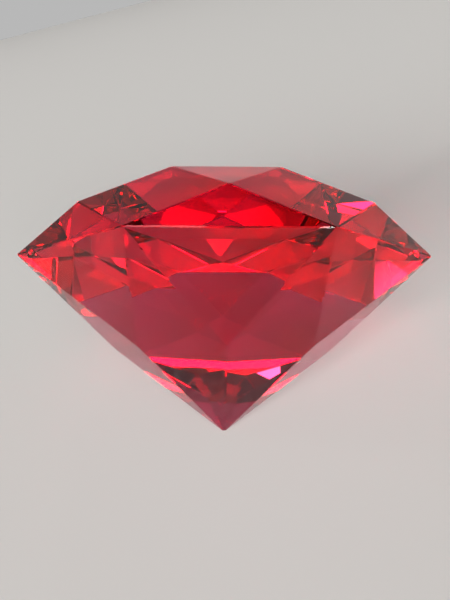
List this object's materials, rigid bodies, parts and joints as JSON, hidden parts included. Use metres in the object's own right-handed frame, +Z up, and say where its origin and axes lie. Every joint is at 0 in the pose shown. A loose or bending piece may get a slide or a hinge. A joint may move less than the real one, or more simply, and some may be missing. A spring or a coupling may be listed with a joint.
{
  "type": "cut ruby",
  "caption": "Loose cut ruby: a faceted brilliant with a broad flat table, a knife-edge girdle and a pointed culet, lying on a pavilion facet.",
  "frame": {"origin": "on the surface that the stone lies on, straight under the middle of its girdle", "axes": "+Z up; the stone's own axis, from culet to table, leans back towards +Y by the pavilion angle of 38.70 degrees; +X to the right when looking at the culet side along +Y"},
  "size_m": [0.008, 0.0062, 0.0051],
  "materials": {
    "ruby": "polished transparent red crystal"
  },
  "bodies": {
    "root": {"cut_ruby": "ruby"}
  },
  "joints": []
}
